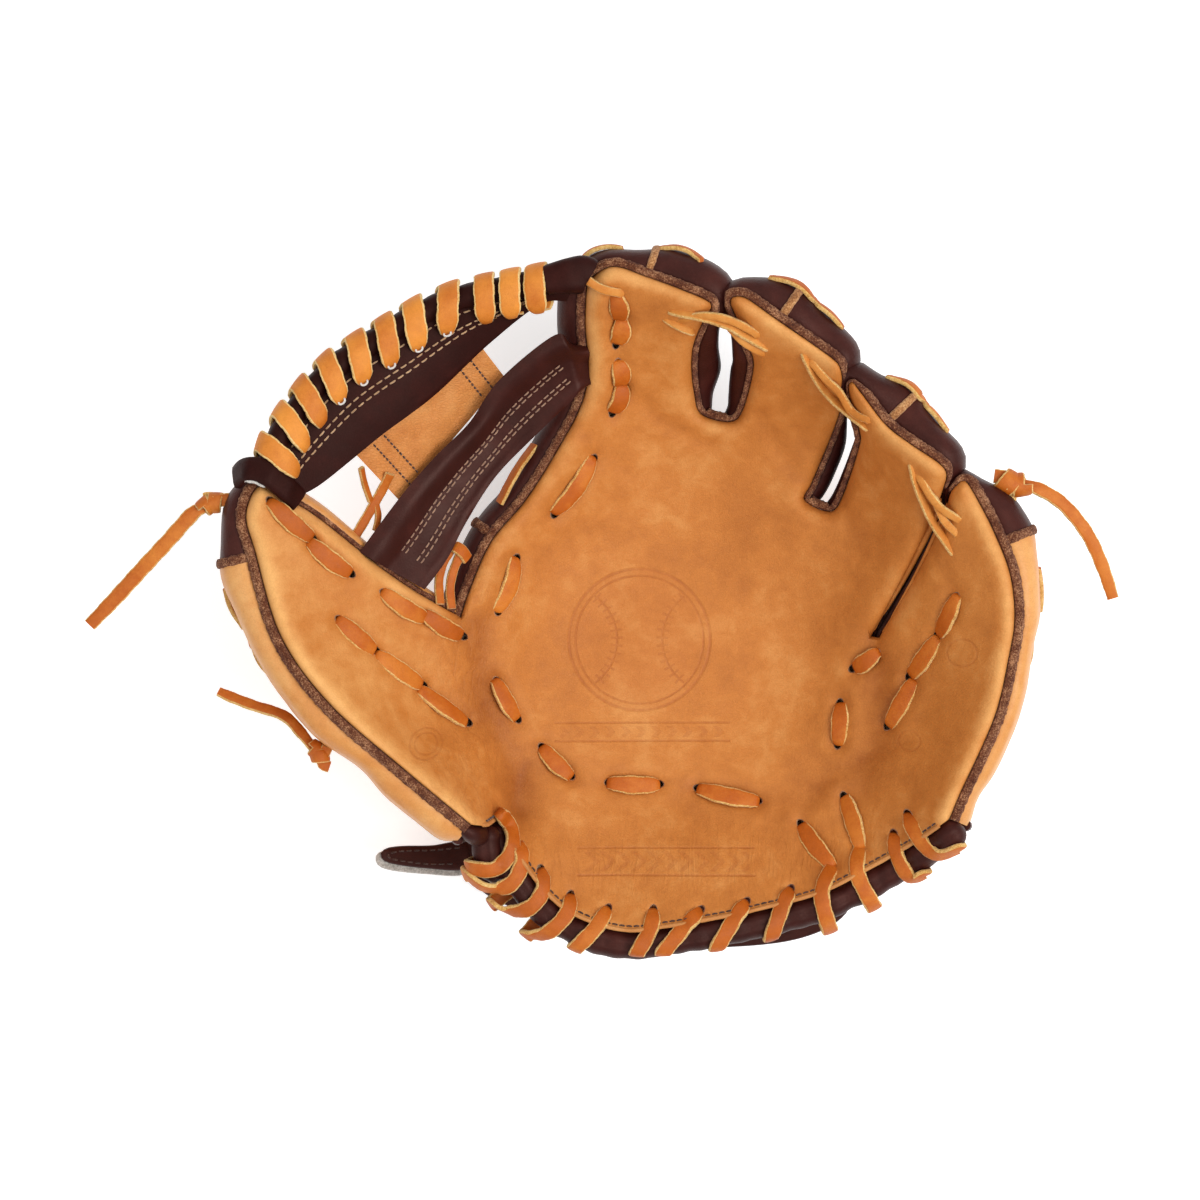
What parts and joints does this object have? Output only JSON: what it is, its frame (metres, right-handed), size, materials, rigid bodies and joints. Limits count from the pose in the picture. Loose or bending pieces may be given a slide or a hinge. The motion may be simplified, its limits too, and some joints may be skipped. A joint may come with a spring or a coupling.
{
  "type": "baseball fielder's glove",
  "caption": "Open five-finger leather fielder's glove for the left hand, with an I-web between thumb and index finger, laced heel, padded pocket and a wrist strap.",
  "frame": {"origin": "on the flat of the hand-back panel the glove rests on when it lies pocket up", "axes": "+Z out of the pocket, +X across the palm toward the little finger, +Y toward the finger tips"},
  "size_m": [0.3534, 0.2479, 0.1058],
  "materials": {
    "finger_welt": "raw-edged, fuzzy",
    "hand_back_panel": "smooth full-grain",
    "heel_binding": "smooth semi-gloss",
    "heel_binding_pinky": "smooth semi-gloss",
    "heel_lace": "rawhide, pale raw edges",
    "heel_lace_pinky": "rawhide, pale raw edges",
    "heel_stitch_lace": "rawhide, pale raw edges",
    "index_back": "smooth semi-gloss",
    "index_finger_pad": "felt",
    "index_middle_lace": "rawhide, pale raw edges",
    "index_side_wall": "smooth semi-gloss",
    "index_web_lace": "rawhide, pale raw edges",
    "middle_back": "smooth semi-gloss",
    "middle_finger_pad": "felt",
    "middle_ring_lace": "rawhide, pale raw edges",
    "palm_felt_pad": "felt",
    "palm_leather": "smooth full-grain",
    "palm_liner": "soft suede side out",
    "pinky_back": "smooth full-grain",
    "pinky_heel_pad": "felt",
    "pinky_knot": "rawhide, pale raw edges",
    "pinky_lace": "rawhide, pale raw edges",
    "pinky_leather": "smooth full-grain",
    "pinky_stay": "matte",
    "pinky_tail": "rawhide, pale raw edges",
    "pinky_tip_back": "smooth semi-gloss",
    "pinky_tip_lace": "rawhide, pale raw edges",
    "pinky_welt": "raw-edged, fuzzy",
    "pocket_lace": "rawhide, pale raw edges",
    "ring_back": "smooth semi-gloss",
    "ring_finger_pad": "felt",
    "ring_lace": "rawhide, pale raw edges",
    "strap_loop_patch": "felt",
    "strap_tab": "smooth semi-gloss",
    "strap_tab_lining": "felt",
    "thumb_back": "smooth full-grain",
    "thumb_heel_pad": "felt",
    "thumb_knot": "rawhide, pale raw edges",
    "thumb_lace": "rawhide, pale raw edges",
    "thumb_leather": "smooth full-grain",
    "thumb_side_knot": "rawhide, pale raw edges",
    "thumb_side_tail": "rawhide, pale raw edges",
    "thumb_stay": "matte",
    "thumb_tail": "rawhide, pale raw edges",
    "thumb_tip_back": "smooth semi-gloss",
    "thumb_web_binding": "smooth semi-gloss",
    "thumb_web_lace": "rawhide, pale raw edges",
    "thumb_welt": "raw-edged, fuzzy",
    "web_lower_strip_index": "smooth semi-gloss",
    "web_lower_strip_thumb": "smooth semi-gloss",
    "web_post_index": "smooth full-grain",
    "web_post_lace": "rawhide, pale raw edges",
    "web_post_thumb": "smooth full-grain",
    "web_top_lace_index": "rawhide, pale raw edges",
    "web_top_lace_thumb": "rawhide, pale raw edges",
    "web_top_roll_index": "smooth semi-gloss",
    "web_top_roll_thumb": "smooth semi-gloss",
    "web_top_strip_index": "smooth semi-gloss",
    "web_top_strip_thumb": "smooth semi-gloss",
    "wrist_strap": "smooth semi-gloss"
  },
  "bodies": {
    "palm": {"finger_welt": "finger_welt", "hand_back_panel": "hand_back_panel", "heel_binding": "heel_binding", "heel_lace": "heel_lace", "index_back": "index_back", "index_finger_pad": "index_finger_pad", "index_middle_lace": "index_middle_lace", "index_side_wall": "index_side_wall", "index_web_lace": "index_web_lace", "middle_back": "middle_back", "middle_finger_pad": "middle_finger_pad", "middle_ring_lace": "middle_ring_lace", "palm_felt_pad": "palm_felt_pad", "palm_leather": "palm_leather", "palm_liner": "palm_liner", "pocket_lace": "pocket_lace", "ring_back": "ring_back", "ring_finger_pad": "ring_finger_pad", "ring_lace": "ring_lace", "strap_loop_patch": "strap_loop_patch", "web_lower_strip_index": "web_lower_strip_index", "web_post_index": "web_post_index", "web_top_lace_index": "web_top_lace_index", "web_top_roll_index": "web_top_roll_index", "web_top_strip_index": "web_top_strip_index", "wrist_strap": "wrist_strap"},
    "thumb_side": {"thumb_back": "thumb_back", "thumb_heel_pad": "thumb_heel_pad", "thumb_knot": "thumb_knot", "thumb_lace": "thumb_lace", "thumb_leather": "thumb_leather", "thumb_side_knot": "thumb_side_knot", "thumb_stay": "thumb_stay", "thumb_tip_back": "thumb_tip_back", "thumb_web_binding": "thumb_web_binding", "thumb_web_lace": "thumb_web_lace", "thumb_welt": "thumb_welt", "web_lower_strip_thumb": "web_lower_strip_thumb", "web_post_lace": "web_post_lace", "web_post_thumb": "web_post_thumb", "web_top_lace_thumb": "web_top_lace_thumb", "web_top_roll_thumb": "web_top_roll_thumb", "web_top_strip_thumb": "web_top_strip_thumb"},
    "pinky_side": {"heel_binding_pinky": "heel_binding_pinky", "heel_lace_pinky": "heel_lace_pinky", "heel_stitch_lace": "heel_stitch_lace", "pinky_back": "pinky_back", "pinky_heel_pad": "pinky_heel_pad", "pinky_knot": "pinky_knot", "pinky_lace": "pinky_lace", "pinky_leather": "pinky_leather", "pinky_stay": "pinky_stay", "pinky_tip_back": "pinky_tip_back", "pinky_tip_lace": "pinky_tip_lace", "pinky_welt": "pinky_welt"},
    "strap_tab_body": {"strap_tab": "strap_tab", "strap_tab_lining": "strap_tab_lining"},
    "thumb_tail_body": {"thumb_tail": "thumb_tail"},
    "pinky_tail_body": {"pinky_tail": "pinky_tail"},
    "thumb_side_tail_body": {"thumb_side_tail": "thumb_side_tail"}
  },
  "joints": [
    {"name": "thumb_fold", "type": "hinge", "parent": "palm", "child": "thumb_side", "pos_m": [-0.03506, -0.07613, 0.068], "axis": [-0.1656, 0.9745, 0.1512], "range_deg": [-4, 30]},
    {"name": "pinky_fold", "type": "hinge", "parent": "palm", "child": "pinky_side", "pos_m": [0.04904, -0.10565, 0.074], "axis": [-0.423, -0.8926, -0.1558], "range_deg": [0, 22]},
    {"name": "strap_tab_peel", "type": "hinge", "parent": "palm", "child": "strap_tab_body", "pos_m": [-0.04717, -0.09173, 0.012], "axis": [0, 1, 0], "range_deg": [-10, 25]},
    {"name": "thumb_tail_swing", "type": "hinge", "parent": "thumb_side", "child": "thumb_tail_body", "pos_m": [-0.13865, 0.02999, 0.09], "axis": [-0.7362, 0.6768, 0], "range_deg": [-20, 20]},
    {"name": "pinky_tail_swing", "type": "hinge", "parent": "pinky_side", "child": "pinky_tail_body", "pos_m": [0.14553, 0.03884, 0.09], "axis": [-0.7944, -0.6074, 0], "range_deg": [-20, 20]},
    {"name": "thumb_side_tail_swing", "type": "hinge", "parent": "thumb_side", "child": "thumb_side_tail_body", "pos_m": [-0.10091, -0.04921, 0.077], "axis": [0.4961, 0.8683, 0], "range_deg": [-15, 15]}
  ]
}
